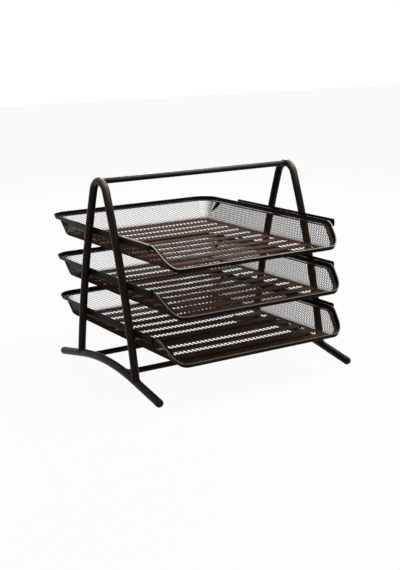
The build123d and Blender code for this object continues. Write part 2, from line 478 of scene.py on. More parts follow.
def plug_plastic(tone, roughness):
    """Matt moulded plastic with a faint grain."""
    material, nodes = blank_material("plug_plastic")
    place = nodes.add("ShaderNodeTexCoord", output="Object")
    drift = noise(nodes, place, *PLUG_DRIFT)
    grain = noise(nodes, place, *PLUG_GRAIN)
    dark, pale = PLUG_TONES
    bump = nodes.add(
        "ShaderNodeBump", {}, {"Strength": PLUG_GRAIN_STRENGTH, "Distance": PEEL_DEPTH, "Height": grain}
    )
    shader = nodes.add(
        "ShaderNodeBsdfPrincipled",
        {},
        {
            "Base Color": mixed(nodes, drift, shade(tone, dark), shade(tone, pale)),
            "Roughness": roughness + PLUG_GRAIN_ROUGHNESS * grain,
            "Specular IOR Level": PLUG_SPECULAR,
            "Normal": bump,
        },
    )
    nodes.add("ShaderNodeOutputMaterial", {}, {"Surface": shader})
    return material


def finish_material(name):
    """Material by its name, made on first use."""
    if name in bpy.data.materials:
        return bpy.data.materials[name]
    finishes = bpy.context.scene.document_tray_finishes
    if name == "plug_plastic":
        return plug_plastic(finishes.plug_colour, finishes.plug_roughness)
    coats = {
        "frame_coat": (finishes.frame_colour, finishes.frame_roughness, finishes.frame_gloss),
        "rim_coat": (finishes.rim_colour, finishes.rim_roughness, finishes.rim_gloss),
        "mesh_coat": (finishes.mesh_colour, finishes.mesh_roughness, finishes.mesh_gloss),
    }
    return satin_coat(name, *coats[name], finishes.glint_colour, finishes.highlight_colour)


# Meshes

SHARP_EDGE = math.radians(40.0)
PLUG_SHARP_EDGE = math.radians(32.0)


def add_object(name, data):
    """New object in the scene."""
    thing = bpy.data.objects.new(name, data)
    bpy.context.scene.collection.objects.link(thing)
    return thing


def add_piece(name, mesh, body, slot, *nodes):
    """Put a finished mesh into the scene, on the body that carries it and in place of its solids."""
    piece = add_object(name, mesh)
    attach(piece, body)
    if nodes:
        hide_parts(*nodes)


def smooth_mesh(name, build, coat, sharp=SHARP_EDGE):
    """Mesh with its faces outwards, smooth except along edges sharper than an angle."""
    bmesh.ops.recalc_face_normals(build, faces=build.faces)
    for face in build.faces:
        face.smooth = True
    mesh = bpy.data.meshes.new(name)
    build.to_mesh(mesh)
    build.free()
    mesh.set_sharp_from_angle(angle=sharp)
    mesh.materials.append(finish_material(coat))
    return mesh


def applied(name, mesh, modifiers):
    """Mesh with modifiers worked in, each given by its kind and its settings."""
    holder = add_object(name, mesh)
    for kind, settings in modifiers:
        modifier = holder.modifiers.new(kind.title(), kind)
        for key, value in settings.items():
            setattr(modifier, key, value)
    result = plain_mesh(holder)
    bpy.data.objects.remove(holder)
    return result


def plain_mesh(holder):
    """What an object shows with its modifiers, as a mesh of its own."""
    graph = bpy.context.evaluated_depsgraph_get()
    graph.update()
    return bpy.data.meshes.new_from_object(holder.evaluated_get(graph))


def bridge(build, rings, closed):
    """Faces between rings of points, one ring after another."""
    pairs = list(zip(rings, rings[1:]))
    if closed:
        pairs.append((rings[-1], rings[0]))
    for first, second in pairs:
        for i in range(len(first)):
            j = (i + 1) % len(first)
            build.faces.new((first[i], first[j], second[j], second[i]))
    if not closed:
        build.faces.new(rings[0])
        build.faces.new(list(reversed(rings[-1])))


def add_bar(build, points, normals, radii, sides, closed=False):
    """Round bar along a line of points, with a direction square to the line at each point."""
    count = len(points)
    rings = []
    for i, (point, normal, radius) in enumerate(zip(points, normals, radii)):
        before = points[i - 1] if closed or i > 0 else point
        after = points[(i + 1) % count] if closed or i < count - 1 else point
        other = (after - before).cross(normal).normalized()
        ring = []
        for side in range(sides):
            turn = math.tau * side / sides
            out = math.cos(turn) * normal + math.sin(turn) * other
            ring.append(build.verts.new(point + radius * out))
        rings.append(ring)
    bridge(build, rings, closed)


def paint_sheen(build, most, height, fade):
    """Painted sheen on the side of a bar that faces the light, above a given height."""
    bmesh.ops.recalc_face_normals(build, faces=build.faces)
    build.normal_update()
    wear = build.verts.layers.float.new("wear")
    for point in build.verts:
        facing = max(point.normal.dot(SHEEN_WAY), 0.0)
        point[wear] = most * facing ** SHEEN_FOCUS * clamp((point.co.z - height) / fade, 0.0, 1.0)


def spread(first, last, count):
    """Evenly spaced values, both ends included."""
    return [first + (last - first) * i / (count - 1) for i in range(count)]


# Stand

# Steps along the tubes, rods and seams, and faces round a bead
ARCH_BEND_STEPS = 40
LEG_STEPS = 48
FOOT_STEPS = 72
ROD_STEPS = 3
SEAM_STEPS = 56
BEAD_SIDES = 10
# Dome of an end plug: steps from tip to rim, the turn at its tip and its fullness
DOME_STEPS = 14
DOME_START = 0.12
DOME_FULLNESS = 0.6
# Short beads between a leg and a rail: swell along a bead, and its place beside the leg and off the web
BEAD_SWELL = (0.35, 0.85, 1.0, 0.85, 0.35)
BEAD_ASIDE = 0.58
BEAD_LIFT = 0.35
# Painted sheen, standing in for highlights, on the handle bar and on the shoulders of the arches
SHEEN_WAY = Vector((0.0, -0.60, 0.80))
HANDLE_SHEEN = 0.25
SHOULDER_SHEEN = 0.32
SHEEN_FOCUS = 4.0
SHOULDER_DEPTH = 34.0 * MM
SHOULDER_FADE = 22.0 * MM


class TRAY_OT_arches(Operator):
    """Bend the two arches: a tight bend at the top and two bowed legs"""

    bl_idname = "document_tray.arches"
    bl_label = "Arches"

    def execute(self, context):
        sizes = context.scene.document_tray_stand
        shape = stand_shape(sizes)
        arc = leg_arc(shape, sizes)
        rear = [leg_point(shape, arc, turn) for turn in spread(arc.last, arc.first, LEG_STEPS)]
        bend_middle = Vector((0.0, shape.middle, shape.handle.z - sizes.arch_bend))
        bend = []
        for turn in spread(sizes.leg_lean, math.pi - sizes.leg_lean, ARCH_BEND_STEPS):
            bend.append(bend_middle + sizes.arch_bend * Vector((0.0, math.cos(turn), math.sin(turn))))
        front = [Vector((0.0, 2 * shape.middle - point.y, point.z)) for point in reversed(rear)]
        line = rear[:-1] + bend + front[1:]
        for side, sign in SIDES.items():
            build = bmesh.new()
            points = [point + Vector((sign * shape.side, 0.0, 0.0)) for point in line]
            radii = [shape.arch_radius] * len(points)
            add_bar(build, points, [ACROSS] * len(points), radii, sizes.tube_sides)
            # Painted sheen on the shoulders of the arch, where the light falls
            paint_sheen(build, SHOULDER_SHEEN, shape.handle.z - SHOULDER_DEPTH, SHOULDER_FADE)
            mesh = smooth_mesh(side + "_arch_tube", build, "frame_coat")
            add_piece(side + "_arch_tube", mesh, "frame", "frame_coating", side + "_arch")
        return {"FINISHED"}


class TRAY_OT_feet(Operator):
    """Bend the two arched feet and put a domed plug into each end"""

    bl_idname = "document_tray.feet"
    bl_label = "Feet"

    def execute(self, context):
        sizes = context.scene.document_tray_stand
        shape = stand_shape(sizes)
        reach = shape.foot_half
        line = [foot_point(shape, along) for along in spread(-reach, reach, FOOT_STEPS)]
        for side, sign in SIDES.items():
            offset = Vector((sign * shape.side, 0.0, 0.0))
            build = bmesh.new()
            points = [point + offset for point in line]
            radii = [shape.foot_radius] * len(points)
            add_bar(build, points, [ACROSS] * len(points), radii, sizes.tube_sides)
            mesh = smooth_mesh(side + "_foot_tube", build, "frame_coat")
            add_piece(side + "_foot_tube", mesh, "frame", "frame_coating", side + "_foot")
            for end, way in ENDS.items():
                along = way * reach
                axis = way * foot_direction(shape, along)
                mesh = self.plug_mesh(sizes, shape, foot_point(shape, along) + offset, axis)
                name = end + "_" + side + "_foot_plug"
                add_piece(end + "_" + side + "_end_plug", mesh, "frame", "foot_plug_plastic", name)
        return {"FINISHED"}

    def plug_mesh(self, sizes, shape, end, axis):
        """Dome with a collar over the end of the tube, flat where it stands."""
        step = sizes.plug_step
        radius = shape.foot_radius + step
        collar = sizes.plug_collar
        outline = []
        for turn in spread(DOME_START, math.pi / 2, DOME_STEPS):
            reach = shape.plug_radius * math.cos(turn) ** DOME_FULLNESS
            outline.append((reach, radius * math.sin(turn) ** DOME_FULLNESS))
        outline.append((step - collar, radius))
        outline.append((-collar, shape.foot_radius + step / 3))
        outline.append((-collar, shape.foot_radius - step))
        build = bmesh.new()
        other = axis.cross(ACROSS)
        rings = []
        for along, out in outline:
            ring = []
            for side in range(sizes.tube_sides):
                turn = math.tau * side / sizes.tube_sides
                point = end + along * axis + out * (math.cos(turn) * ACROSS + math.sin(turn) * other)
                point.z = max(point.z, 0.0)
                ring.append(build.verts.new(point))
            rings.append(ring)
        bridge(build, rings, closed=False)
        return smooth_mesh("end_plug", build, "plug_plastic", PLUG_SHARP_EDGE)


class TRAY_OT_rods(Operator):
    """Set the handle bar between the arches and the two cross bars between the feet"""

    bl_idname = "document_tray.rods"
    bl_label = "Handle and cross bars"

    def execute(self, context):
        sizes = context.scene.document_tray_stand
        shape = stand_shape(sizes)
        for node in ("handle_bar", "front_cross_bar", "rear_cross_bar"):
            middle = middle_of(node)
            build = bmesh.new()
            line = spread(-shape.side, shape.side, ROD_STEPS)
            points = [Vector((x, middle.y, middle.z)) for x in line]
            radii = [shape.rod_radius] * ROD_STEPS
            add_bar(build, points, [UP] * ROD_STEPS, radii, sizes.tube_sides)
            # Painted sheen on the upper side of a bar; at its height it only reaches the handle bar
            paint_sheen(build, HANDLE_SHEEN, shape.handle.z - SHOULDER_DEPTH, SHOULDER_FADE)
            mesh = smooth_mesh(node + "_rod", build, "frame_coat")
            add_piece(node + "_rod", mesh, "frame", "frame_coating", node)
        return {"FINISHED"}


class Bar(NamedTuple):
    """Straight round bar: a point on its axis, the way of its axis and its radius."""

    point: Vector
    way: Vector
    radius: float


class TRAY_OT_welds(Operator):
    """Lay weld beads where the tubes, rods and rails meet"""

    bl_idname = "document_tray.welds"
    bl_label = "Welds"

    def execute(self, context):
        sizes = context.scene.document_tray_stand
        shape = stand_shape(sizes)
        arc = leg_arc(shape, sizes)
        build = bmesh.new()
        for sign in SIDES.values():
            offset = Vector((sign * shape.side, 0.0, 0.0))
            inward = Vector((-sign, 0.0, 0.0))
            arch = Bar(shape.handle + offset, Vector((0.0, 1.0, 0.0)), shape.arch_radius)
            self.seam(build, sizes.bead, Bar(shape.handle + offset, inward, shape.rod_radius), arch)
            for end, way in ENDS.items():
                middle = middle_of(end + "_cross_bar")
                foot = self.foot_bar(shape, middle.y - shape.middle, offset)
                self.seam(build, sizes.bead, Bar(middle + offset, inward, shape.rod_radius), foot)
                foot = self.foot_bar(shape, way * sizes.leg_spread / 2, offset)
                up_leg = Vector((0.0, -way * math.sin(arc.last), math.cos(arc.last)))
                self.seam(build, sizes.bead, Bar(foot.point, up_leg, shape.arch_radius), foot)
                self.rail_beads(build, sizes, shape, arc, sign, way)
        mesh = smooth_mesh("frame_welds", build, "frame_coat")
        add_piece("frame_welds", mesh, "frame", "frame_coating")
        return {"FINISHED"}

    def foot_bar(self, shape, along, offset):
        """Foot near a place along it, as a straight bar."""
        return Bar(foot_point(shape, along) + offset, foot_direction(shape, along), shape.foot_radius)

    def seam(self, build, bead, bar, other):
        """Bead round the end of a bar, along the line where it meets another bar."""
        first = bar.way.orthogonal().normalized()
        second = bar.way.cross(first)
        flat_way = bar.way - bar.way.dot(other.way) * other.way
        points = []
        normals = []
        for step in range(SEAM_STEPS):
            turn = math.tau * step / SEAM_STEPS
            out = math.cos(turn) * first + math.sin(turn) * second
            start = bar.point + bar.radius * out - other.point
            flat = start - start.dot(other.way) * other.way
            half = flat.dot(flat_way)
            depth = other.radius ** 2 - flat.length_squared
            room = max(half ** 2 + flat_way.length_squared * depth, 0.0)
            reach = (math.sqrt(room) - half) / flat_way.length_squared
            points.append(other.point + start + reach * bar.way)
            normals.append(out)
        add_bar(build, points, normals, [bead] * SEAM_STEPS, BEAD_SIDES, closed=True)

    def rail_beads(self, build, sizes, shape, arc, sign, way):
        """Two short beads beside a leg at each rail, in the corner between tube and web."""
        for tier in TIERS:
            low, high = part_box("right_" + tier + "_rail")
            x = sign * (high.x + BEAD_LIFT * sizes.rail_bead)
            heights = spread(low.z + 2 * sizes.rail_fold, high.z - sizes.rail_sheet, len(BEAD_SWELL))
            radii = [sizes.rail_bead * swell for swell in BEAD_SWELL]
            for edge in ENDS.values():
                points = []
                for height in heights:
                    turn = math.asin((height - arc.centre.y) / arc.radius)
                    leg = leg_point(shape, arc, turn)
                    aside = edge * BEAD_ASIDE * shape.arch_radius
                    y = shape.middle + way * (leg.y - shape.middle) + aside
                    points.append(Vector((x, y, height)))
                add_bar(build, points, [ACROSS] * len(points), radii, BEAD_SIDES)


RAIL_BEND_STEPS = 7
# The one rail whose lit top edge gets a painted highlight, and where it fades out towards the rear
HIGHLIT_RAIL = "left_top_rail"
RAIL_HIGHLIGHT_END = -30.0 * MM
RAIL_HIGHLIGHT_FADE = 20.0 * MM


class TRAY_OT_rails(Operator):
    """Fold the six angle rails that carry the trays"""

    bl_idname = "document_tray.rails"
    bl_label = "Rails"

    def execute(self, context):
        sizes = context.scene.document_tray_stand
        for tier in TIERS:
            for side, sign in SIDES.items():
                node = side + "_" + tier + "_rail"
                mesh = self.rail_mesh(sizes, node, sign)
                add_piece(node + "_angle", mesh, "frame", "frame_coating", node)
        return {"FINISHED"}

    def rail_mesh(self, sizes, node, sign):
        """Strip along the middle of the sheet, from the flange's edge to the web's, made thick."""
        low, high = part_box(node)
        half = sizes.rail_sheet / 2
        inside = min(abs(low.x), abs(high.x))
        web = max(abs(low.x), abs(high.x)) - half
        bottom = low.z + half
        fold = sizes.rail_fold
        corner = sizes.rail_corner
        columns = [(inside, bottom)]
        for turn in spread(0.0, math.pi / 2, RAIL_BEND_STEPS):
            columns.append((web - fold + fold * math.sin(turn), bottom + fold - fold * math.cos(turn)))
        for turn in spread(0.0, math.pi / 2, RAIL_BEND_STEPS):
            columns.append((web, high.z - corner + corner * math.sin(turn)))
        build = bmesh.new()
        wear = build.verts.layers.float.new("wear")
        grid = []
        for x, z in columns:
            over = max(z - (high.z - corner), 0.0)
            rounding = corner - math.sqrt(max(corner ** 2 - over ** 2, 0.0))
            ahead = (low.y + rounding, low.y + sizes.flange_setback, RAIL_HIGHLIGHT_END - RAIL_HIGHLIGHT_FADE)
            row = [build.verts.new((sign * x, y, z)) for y in (*ahead, RAIL_HIGHLIGHT_END, high.y - rounding)]
            # Painted highlight along the top edge of the one lit rail
            if node == HIGHLIT_RAIL and z > high.z - sizes.rail_rub:
                for point in row[:len(ahead)]:
                    point[wear] = 1.0
            grid.append(row)
        for first, second in zip(grid, grid[1:]):
            on_flange = first is grid[0]
            for j in range(1 if on_flange else 0, len(first) - 1):
                build.faces.new((first[j], second[j], second[j + 1], first[j + 1]))
        loose = [vertex for vertex in build.verts if not vertex.link_faces]
        bmesh.ops.delete(build, geom=loose, context="VERTS")
        sheet = smooth_mesh(node, build, "rim_coat")
        solid = applied(node, sheet, [
            ("SOLIDIFY", {"thickness": sizes.rail_sheet, "offset": 0.0, "use_even_offset": True}),
            ("BEVEL", {
                "width": sizes.rail_edge,
                "segments": 2,
                "limit_method": "ANGLE",
                "angle_limit": SHARP_EDGE,
            }),
        ])
        solid.set_sharp_from_angle(angle=SHARP_EDGE)
        return solid


# Trays

# Steps round the rim's section, and along its line from the middle of the front to the middle of the back
RIM_FOLD_STEPS = 6
RIM_TIP_STEPS = 13
RIM_INNER_STEPS = 4
RIM_NOSE_STEPS = 5
FRONT_STEPS = 12
CORNER_STEPS = 20
DIP_STEPS = 44
SIDE_STEPS = 24
# Rounds that settle a height on a leaning wall: for a point of the rim, and for the top of the mesh
RIM_ROUNDS = 6
WALL_ROUNDS = 2
# Painted highlight on the dipped lips: paleness per level, less lower down as painted shade, and its fade
LIP_HIGHLIGHT = {"top": 1.0, "middle": 0.5, "bottom": 0.4}
LIP_HIGHLIGHT_FADE = 6.0 * MM


def dip_height(y, offset, tray):
    """Height of the line along a tray's side that lies a given offset over the rim's underside."""
    half = calc("TANGENT", tray.dip_angle / 2)
    slope = calc("TANGENT", tray.dip_angle)
    sine = calc("SINE", tray.dip_angle)
    cosine = calc("COSINE", tray.dip_angle)
    along = y - (tray.dip_end - offset * half)
    run = tray.side_height / slope
    lower = tray.dip_radius + tray.rim_height - offset
    in_foot = clamp(along + lower * half, 0.0, lower * sine)
    past_foot = calc("MAXIMUM", along - lower * half * cosine, 0.0)
    rise = lower - calc("SQRT", lower * lower - in_foot * in_foot) + past_foot * slope
    upper = tray.crest_radius + offset
    in_crest = clamp(run + upper * half - along, 0.0, upper * sine)
    past_crest = calc("MAXIMUM", run - upper * half * cosine - along, 0.0)
    fall = upper - calc("SQRT", upper * upper - in_crest * in_crest) + past_crest * slope
    at_top = calc("GREATER_THAN", along, run / 2)
    return offset + rise * (1.0 - at_top) + (tray.side_height - fall) * at_top


class TRAY_OT_rims(Operator):
    """Fold the strip round the edge of each tray: a ledge for the rails and an upright lip"""

    bl_idname = "document_tray.rims"
    bl_label = "Rims"

    def execute(self, context):
        sizes = context.scene.document_tray_trays
        shape = tray_shape(sizes)
        section = self.section(sizes, shape)
        crest = shape.dip_end + shape.side_height / math.tan(sizes.dip_angle)
        stations = self.stations(sizes, shape, crest + sizes.crest_radius)
        for tier in TIERS:
            place = tray_place(tier, shape)
            build = bmesh.new()
            wear = build.verts.layers.float.new("wear")
            rings = []
            for station in stations:
                ring = []
                for out, over in section:
                    spot = self.rim_point(shape, station, out, over)
                    point = build.verts.new(place + spot)
                    # Painted highlight on the lip's rolled top, from the front up to the crest of the dip
                    if over > shape.rim_height - sizes.rim_edge:
                        point[wear] = LIP_HIGHLIGHT[tier] * clamp((crest - spot.y) / LIP_HIGHLIGHT_FADE + 1.0, 0.0, 1.0)
                    ring.append(point)
                rings.append(ring)
            bridge(build, rings, closed=True)
            mesh = smooth_mesh(tier + "_rim_strip", build, "rim_coat")
            add_piece(tier + "_rim_strip", mesh, tier + "_tray", "rim_coating", tier + "_tray_rim")
        return {"FINISHED"}

    def section(self, sizes, shape):
        """Outline of the folded strip, as distances out from the pan and over the strip's underside."""
        sheet = sizes.rim_sheet
        fold = sizes.rim_fold
        edge = sheet / 2
        roll = sizes.rim_edge
        past_side = math.acos(edge / roll)
        middle = shape.reach - fold
        cover = -sizes.ledge_cover
        outer = [
            (middle + fold * math.sin(turn), fold - fold * math.cos(turn))
            for turn in spread(0.0, math.pi / 2, RIM_FOLD_STEPS)
        ]
        tip = [
            (shape.reach - edge + roll * math.cos(turn), sizes.rim_height - roll + roll * math.sin(turn))
            for turn in spread(-past_side, math.pi + past_side, RIM_TIP_STEPS)
        ]
        inner_fold = fold - sheet
        inner = [
            (middle + inner_fold * math.sin(turn), fold - inner_fold * math.cos(turn))
            for turn in spread(math.pi / 2, 0.0, RIM_INNER_STEPS)
        ]
        nose = [
            (cover - edge * math.sin(turn), edge + edge * math.cos(turn))
            for turn in spread(0.0, math.pi, RIM_NOSE_STEPS)
        ]
        return outer + tip + inner + nose

    def stations(self, sizes, shape, dip_top):
        """Points of the floor's outline with their outward ways, closest together along the dip."""
        corner = sizes.floor_corner
        x_middle = shape.half_width - corner
        y_middle = shape.half_depth - corner
        half = [(x, -shape.half_depth, 0.0, -1.0) for x in spread(0.0, x_middle, FRONT_STEPS)]
        half += self.round_corner(corner, x_middle, -y_middle, -math.pi / 2)
        side = spread(-y_middle, dip_top, DIP_STEPS) + spread(dip_top, y_middle, SIDE_STEPS)[1:]
        half += [(shape.half_width, y, 1.0, 0.0) for y in side]
        half += self.round_corner(corner, x_middle, y_middle, 0.0)
        half += [(x, shape.half_depth, 0.0, 1.0) for x in spread(x_middle, 0.0, FRONT_STEPS)]
        other_half = [(-x, y, -out, along) for x, y, out, along in reversed(half) if x > 0.0]
        return half + other_half

    def round_corner(self, radius, x_middle, y_middle, start):
        """Stations round a quarter circle, without its two ends."""
        turns = spread(start, start + math.pi / 2, CORNER_STEPS)[1:-1]
        ways = [(math.cos(turn), math.sin(turn)) for turn in turns]
        return [(x_middle + radius * x, y_middle + radius * y, x, y) for x, y in ways]

    def rim_point(self, shape, station, out, over):
        """Point of the strip at a station, found in steps, as height and place depend on each other."""
        x, y, out_x, out_y = station
        height = dip_height(y, over, shape)
        for repeat in range(RIM_ROUNDS):
            distance = out + shape.lean * height
            height = dip_height(y + out_y * distance, over, shape)
        distance = out + shape.lean * height
        return Vector((x + out_x * distance, y + out_y * distance, height))


# Reach of the wider holes from the middle of a rib's flank, as a share of the rib's rise
FLANK_REACH = 0.65
# How far the mesh goes into the rim's strip, as a share of the strip's thickness
RIM_SEAT = 0.4
# A diamond is cut away if its middle lies further past the edge than this share of its width
EDGE_REACH = 0.25
# Points closer than the gap become one, and a length isn't divided by less than the least length
MERGE_GAP = 0.01 * MM
LEAST_LENGTH = 0.001 * MM


class TRAY_OT_baskets(Operator):
    """Press the pans of expanded mesh, with ribbed floors and leaning walls"""

    bl_idname = "document_tray.baskets"
    bl_label = "Mesh baskets"

    def execute(self, context):
        sizes = context.scene.document_tray_trays
        shape = tray_shape(sizes)
        tree, sockets = self.basket_tree(self.tree_values(sizes, shape))
        for tier in TIERS:
            place = tray_place(tier, shape)
            for part, is_wall, opening in (
                ("floor", 0.0, sizes.floor_opening),
                ("walls", 1.0, sizes.wall_opening),
            ):
                name = tier + "_mesh_" + part
                values = {
                    "Is wall": is_wall,
                    "Opening": opening,
                    "Side place": place.x,
                    "Depth place": place.y,
                    "Height place": place.z,
                }
                holder = add_object(name + "_holder", bpy.data.meshes.new(name + "_blank"))
                modifier = holder.modifiers.new("Basket", "NODES")
                modifier.node_group = tree
                for key, value in values.items():
                    modifier[sockets[key]] = value
                mesh = plain_mesh(holder)
                mesh.name = name
                holder.modifiers.remove(modifier)
                bpy.data.objects.remove(holder)
                add_piece(name, mesh, tier + "_tray", "basket_coating", tier + "_tray_basket")
        return {"FINISHED"}

    def tree_values(self, sizes, shape):
        """Names and values of the sizes that the node tree takes."""
        rib_width = sizes.rib_crown + 2 * sizes.rib_rise * math.tan(sizes.rib_flank)
        rib_pitch = rib_width + sizes.rib_gap
        room = 2 * (shape.half_depth - sizes.rib_end_margin) + sizes.rib_gap
        return {
            "Half width": shape.half_width,
            "Half depth": shape.half_depth,
            "Floor corner": sizes.floor_corner,
            "Floor bend": sizes.floor_bend,
            "Floor sag": sizes.floor_sag,
            "Sag width": shape.half_width + shape.reach,
            "Sag depth": shape.half_depth + shape.reach,
            "Wall turn": math.pi / 2 - sizes.wall_lean,
            "Side height": shape.side_height,
            "Rim height": shape.rim_height,
            "Rim seat": RIM_SEAT * sizes.rim_sheet,
            "Dip angle": sizes.dip_angle,
            "Dip end": shape.dip_end,
            "Crest radius": sizes.crest_radius,
            "Dip radius": sizes.dip_radius,
            "Rib width": rib_width,
            "Rib pitch": rib_pitch,
            "Rib count": float(room // rib_pitch),
            "Rib rise": sizes.rib_rise,
            "Rib slope": 1 / math.tan(sizes.rib_flank),
            "Rib length": 2 * (shape.half_width - sizes.rib_margin),
            "Diamond length": sizes.diamond_length,
            "Diamond width": sizes.diamond_width,
            "Opening": sizes.floor_opening,
            "Flank opening": sizes.flank_opening,
            "Sheet": sizes.mesh_sheet,
            "Is wall": 0.0,
            "Side place": 0.0,
            "Depth place": 0.0,
            "Height place": 0.0,
        }

    def basket_tree(self, values):
        """Node tree of a pan: a flat lattice, cut out, pierced, pressed and given its thickness."""
        tree = bpy.data.node_groups.new("pressed_mesh_pan", "GeometryNodeTree")
        nodes = Nodes(tree)
        sockets = {}
        for name, value in values.items():
            socket = tree.interface.new_socket(name, in_out="INPUT", socket_type="NodeSocketFloat")
            socket.default_value = value
            sockets[name] = socket.identifier
        tree.interface.new_socket("Geometry", in_out="OUTPUT", socket_type="NodeSocketGeometry")
        group = nodes.add("NodeGroupInput")
        size = SimpleNamespace(**{name.lower().replace(" ", "_"): group.output(name) for name in values})

        lattice = self.flat_lattice(nodes, size, values)
        place = self.pressed_place(nodes, size)
        beyond = calc("GREATER_THAN", place.over_edge, EDGE_REACH * size.diamond_width)
        wrong_part = calc("COMPARE", place.on_wall, 1.0 - size.is_wall, 0.5)
        cut = nodes.add(
            "GeometryNodeDeleteGeometry",
            {"domain": "FACE"},
            {"Geometry": lattice, "Selection": calc("MAXIMUM", beyond, wrong_part)},
        )
        pierced = self.pierced(nodes, size, cut)
        pressed = nodes.add(
            "GeometryNodeSetPosition", {}, {"Geometry": pierced, "Position": place.position}
        )
        thick = nodes.add(
            "GeometryNodeExtrudeMesh",
            {"mode": "FACES"},
            {"Mesh": pressed, "Offset Scale": size.sheet, "Individual": False},
        )
        under = nodes.add("GeometryNodeFlipFaces", {}, {"Mesh": pressed})
        joined = nodes.add("GeometryNodeJoinGeometry", {}, {"Geometry": [thick, under]})
        closed = nodes.add("GeometryNodeMergeByDistance", {}, {"Geometry": joined, "Distance": MERGE_GAP})
        flat = nodes.add("GeometryNodeSetShadeSmooth", {}, {"Geometry": closed, "Shade Smooth": False})
        real = nodes.add("GeometryNodeRealizeInstances", {}, {"Geometry": flat})
        coat = finish_material("mesh_coat")
        coated = nodes.add("GeometryNodeSetMaterial", {}, {"Geometry": real, "Material": coat})
        nodes.add("NodeGroupOutput", {}, {"Geometry": coated})
        return tree, sockets

    def flat_lattice(self, nodes, size, values):
        """Flat sheet of diamonds, a little larger than the pan laid out flat."""
        wall = values["Side height"] / math.sin(values["Wall turn"]) + values["Floor bend"]
        width = values["Half width"] + wall
        depth = values["Half depth"] + wall
        cells = 2 * math.ceil(width / values["Diamond length"] + depth / values["Diamond width"])
        grid = nodes.add(
            "GeometryNodeMeshGrid",
            {},
            {
                "Size X": float(cells),
                "Size Y": float(cells),
                "Vertices X": cells + 1,
                "Vertices Y": cells + 1,
            },
            output="Mesh",
        )
        column, row = self.flat_spot(nodes)
        diamond = nodes.add("ShaderNodeCombineXYZ", {}, {
            "X": (column - row) * size.diamond_length / 2.0,
            "Y": (column + row) * size.diamond_width / 2.0,
        })
        return nodes.add("GeometryNodeSetPosition", {}, {"Geometry": grid, "Position": diamond})

    def flat_spot(self, nodes):
        """Place of a point on the flat sheet, across and along it."""
        spot = nodes.add("ShaderNodeSeparateXYZ", {}, {0: nodes.add("GeometryNodeInputPosition")})
        return spot.output("X"), spot.output("Y")

    def pierced(self, nodes, size, sheet):
        """Sheet with a hole in each diamond, wider on a rib's flank, which leaves the strands."""
        climb = self.rib_climb(*self.flat_spot(nodes), size)
        on_flank = calc("COMPARE", climb, 0.5 * size.rib_rise, FLANK_REACH * size.rib_rise)
        opening = size.opening + on_flank * (size.flank_opening - size.opening)
        inset = nodes.add(
            "GeometryNodeExtrudeMesh",
            {"mode": "FACES"},
            {"Mesh": sheet, "Offset Scale": 0.0, "Individual": True},
        )
        shrunk = nodes.add(
            "GeometryNodeScaleElements",
            {"domain": "FACE"},
            {"Geometry": inset, "Selection": inset.output("Top"), "Scale": opening},
        )
        return nodes.add(
            "GeometryNodeDeleteGeometry",
            {"domain": "FACE"},
            {"Geometry": shrunk, "Selection": inset.output("Top")},
        )

    def pressed_place(self, nodes, size):
        """Where each point of the flat sheet goes: floor with ribs, bend, and wall up to the rim."""
        x, y = self.flat_spot(nodes)
        past_x = calc("ABSOLUTE", x) - (size.half_width - size.floor_corner)
        past_y = calc("ABSOLUTE", y) - (size.half_depth - size.floor_corner)
        out_x = calc("MAXIMUM", past_x, 0.0)
        out_y = calc("MAXIMUM", past_y, 0.0)
        out = calc("SQRT", out_x * out_x + out_y * out_y)
        inside = calc("MINIMUM", calc("MAXIMUM", past_x, past_y), 0.0)
        distance = out + inside - size.floor_corner
        length_out = calc("MAXIMUM", out, LEAST_LENGTH)
        way_x = out_x / length_out * calc("SIGN", x)
        way_y = out_y / length_out * calc("SIGN", y)

        edge_y = y - way_y * distance
        lean = 1.0 / calc("TANGENT", size.wall_turn)
        top = dip_height(edge_y, 0.0, size)
        for repeat in range(WALL_ROUNDS):
            top = dip_height(edge_y + way_y * lean * top, 0.0, size)
        top = top + size.rim_seat

        bend = calc("MINIMUM", size.floor_bend, top)
        sine = calc("SINE", size.wall_turn)
        cosine = calc("COSINE", size.wall_turn)
        tangent = bend * calc("TANGENT", size.wall_turn / 2.0)
        along = distance + tangent
        turn = clamp(along / bend, 0.0, size.wall_turn)
        wall_length = (top - bend * (1.0 - cosine)) / sine
        on_slope = along - bend * size.wall_turn
        straight = clamp(on_slope, 0.0, wall_length)
        outward = calc("MINIMUM", along, 0.0) - tangent + bend * calc("SINE", turn) + straight * cosine
        height = bend * (1.0 - calc("COSINE", turn)) + straight * sine
        shift = outward - distance

        sag_x = clamp(1.0 - x * x / (size.sag_width * size.sag_width), 0.0, 1.0)
        sag_y = clamp(1.0 - y * y / (size.sag_depth * size.sag_depth), 0.0, 1.0)
        sag = size.floor_sag * sag_x * sag_y
        return SimpleNamespace(
            over_edge=on_slope - wall_length,
            on_wall=calc("GREATER_THAN", along, 0.0),
            position=nodes.add("ShaderNodeCombineXYZ", {}, {
                "X": x + way_x * shift + size.side_place,
                "Y": y + way_y * shift + size.depth_place,
                "Z": height + self.rib_height(x, y, size) - sag + size.height_place,
            }),
        )

    def rib_height(self, x, y, size):
        """Height of the pressed ribs over the floor."""
        return clamp(self.rib_climb(x, y, size), 0.0, size.rib_rise)

    def rib_climb(self, x, y, size):
        """Height of a rib's flank, run on past its foot and its crown."""
        middle = (size.rib_count - 1.0) / 2.0
        index = clamp(calc("ROUND", y / size.rib_pitch + middle), 0.0, size.rib_count - 1.0)
        aside = y - (index - middle) * size.rib_pitch
        past_end = calc("MAXIMUM", calc("ABSOLUTE", x) - (size.rib_length - size.rib_width) / 2.0, 0.0)
        from_line = calc("SQRT", aside * aside + past_end * past_end)
        return (size.rib_width / 2.0 - from_line) * size.rib_slope


